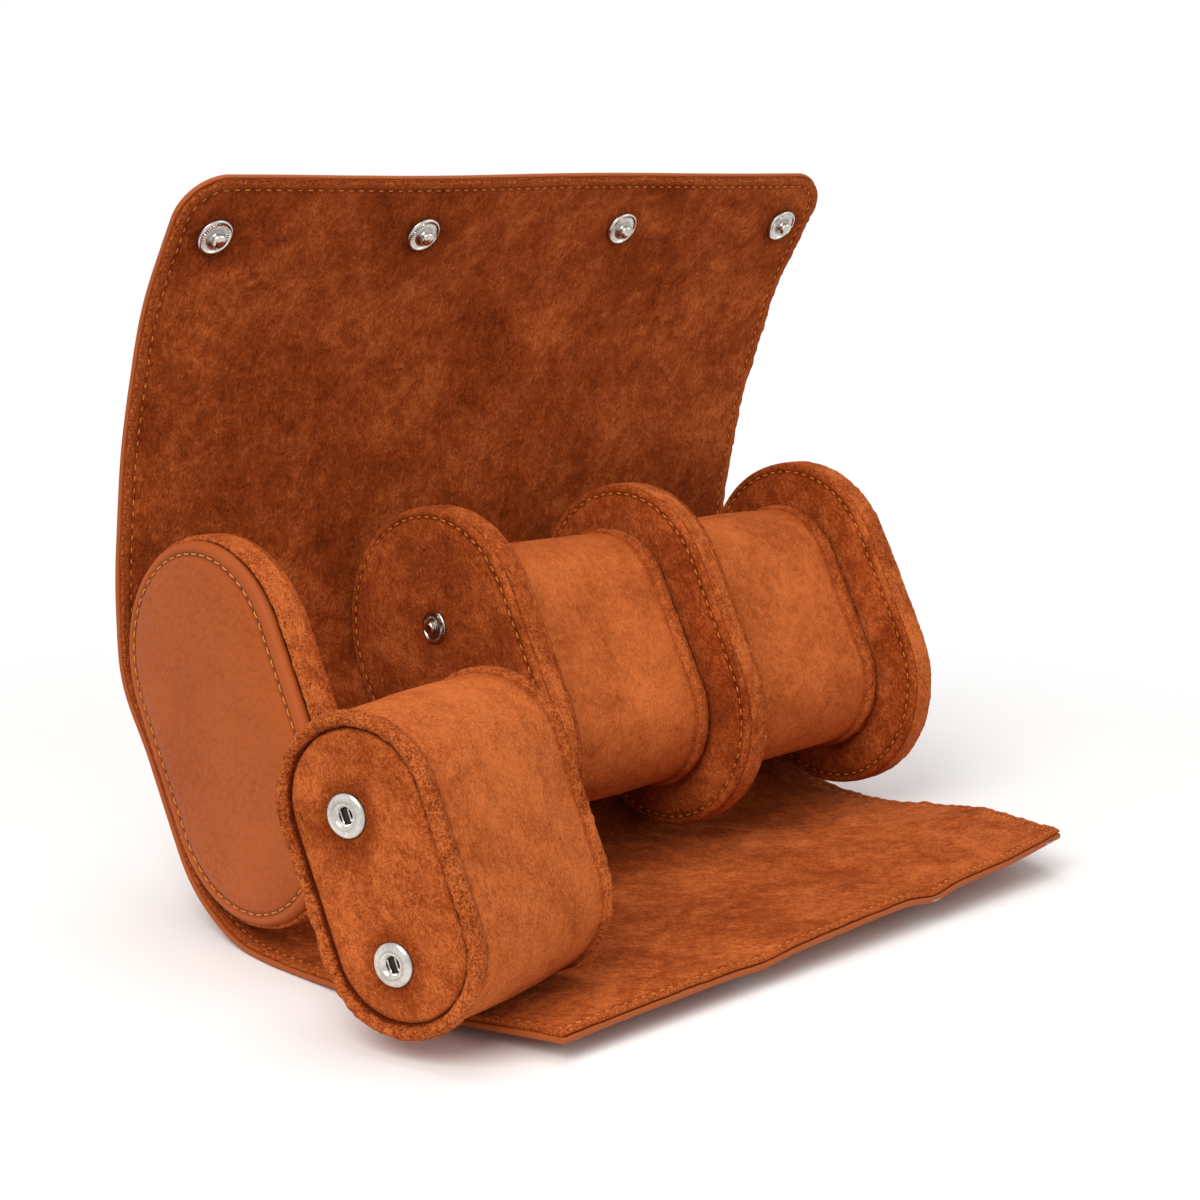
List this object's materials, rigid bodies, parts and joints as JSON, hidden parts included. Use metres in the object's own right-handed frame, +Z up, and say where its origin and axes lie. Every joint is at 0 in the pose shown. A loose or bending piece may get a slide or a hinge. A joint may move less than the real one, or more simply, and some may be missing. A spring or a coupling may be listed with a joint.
{
  "type": "watch travel case",
  "caption": "Wrap-around leather travel case lined with suede: a row of padded discs, press-stud cushions that each take a watch, and flaps that fold round the row and snap shut.",
  "frame": {"origin": "middle of the cover's flat underside, on the table", "axes": "+X along the row of discs, +Y to the back where the rear flap stands, +Z up"},
  "size_m": [0.2416, 0.1542, 0.1792],
  "materials": {
    "smooth_leather": "satin",
    "suede": "matte",
    "board": "matte",
    "foam": "matte",
    "nickel": "polished"
  },
  "bodies": {
    "case_base": {"base_leather": "smooth_leather", "base_lining": "suede", "left_end_board": "board", "left_end_rim": "suede", "left_end_leather_face": "smooth_leather", "left_end_suede_face": "suede", "first_divider_board": "board", "first_divider_rim": "suede", "first_divider_left_face": "suede", "first_divider_right_face": "suede", "second_divider_board": "board", "second_divider_rim": "suede", "second_divider_left_face": "suede", "second_divider_right_face": "suede", "right_end_board": "board", "right_end_rim": "suede", "right_end_suede_face": "suede", "right_end_leather_face": "smooth_leather", "divider_studs": "nickel", "divider_stud_rivets": "nickel"},
    "rear_flap_lower": {"rear_lower_leather": "smooth_leather", "rear_lower_lining": "suede"},
    "rear_flap_middle": {"rear_middle_leather": "smooth_leather", "rear_middle_lining": "suede"},
    "rear_flap_top": {"rear_top_leather": "smooth_leather", "rear_top_lining": "suede", "flap_studs": "nickel", "flap_stud_rivets": "nickel"},
    "front_flap_inner": {"front_hinge_leather": "smooth_leather", "front_hinge_lining": "suede"},
    "front_flap_tip": {"front_tip_leather": "smooth_leather", "front_tip_lining": "suede", "flap_sockets": "nickel", "flap_socket_rivets": "nickel"},
    "loose_cushion": {"loose_core": "foam", "loose_sleeve": "suede", "loose_plain_panel": "suede", "loose_socket_panel": "suede", "loose_sockets": "nickel", "loose_socket_rivets": "nickel"},
    "middle_cushion": {"middle_core": "foam", "middle_sleeve": "suede", "middle_plain_panel": "suede", "middle_socket_panel": "suede", "middle_sockets": "nickel", "middle_socket_rivets": "nickel"},
    "right_cushion": {"right_core": "foam", "right_sleeve": "suede", "right_plain_panel": "suede", "right_socket_panel": "suede", "right_sockets": "nickel", "right_socket_rivets": "nickel"}
  },
  "joints": [
    {"name": "rear_flap_fold", "type": "hinge", "parent": "case_base", "child": "rear_flap_lower", "pos_m": [0, 0.0538, 0.07998], "axis": [1, 0, 0], "range_deg": [0, 39]},
    {"name": "rear_flap_middle_fold", "type": "hinge", "parent": "rear_flap_lower", "child": "rear_flap_middle", "pos_m": [0, 0.04761, 0.11182], "axis": [1, 0, 0], "range_deg": [0, 45]},
    {"name": "rear_flap_top_fold", "type": "hinge", "parent": "rear_flap_middle", "child": "rear_flap_top", "pos_m": [0, 0.03867, 0.143], "axis": [1, 0, 0], "range_deg": [0, 40.5]},
    {"name": "front_flap_fold", "type": "hinge", "parent": "case_base", "child": "front_flap_inner", "pos_m": [0, -0.01095, 0.0026], "axis": [-1, 0, 0], "range_deg": [0, 58.5]},
    {"name": "front_flap_tip_fold", "type": "hinge", "parent": "front_flap_inner", "child": "front_flap_tip", "pos_m": [0, -0.05101, 0.00365], "axis": [-1, 0, 0], "range_deg": [0, 57]},
    {"name": "loose_cushion_lift", "type": "hinge", "parent": "case_base", "child": "loose_cushion", "pos_m": [0, -0.15875, 0.03891], "axis": [1, 0, 0], "range_deg": [0, 180]},
    {"name": "middle_cushion_unsnap", "type": "slide", "parent": "case_base", "child": "middle_cushion", "axis": [-1, 0, 0], "range_m": [0, 0.0023]},
    {"name": "right_cushion_unsnap", "type": "slide", "parent": "case_base", "child": "right_cushion", "axis": [-1, 0, 0], "range_m": [0, 0.0023]}
  ],
  "couplings": [
    {"joint": "rear_flap_middle_fold", "follows": "rear_flap_fold", "ratio": 1.1538},
    {"joint": "rear_flap_top_fold", "follows": "rear_flap_fold", "ratio": 1.0385},
    {"joint": "front_flap_tip_fold", "follows": "front_flap_fold", "ratio": 0.97435},
    {"joint": "loose_cushion_lift", "follows": "front_flap_fold", "ratio": 3.0769}
  ]
}
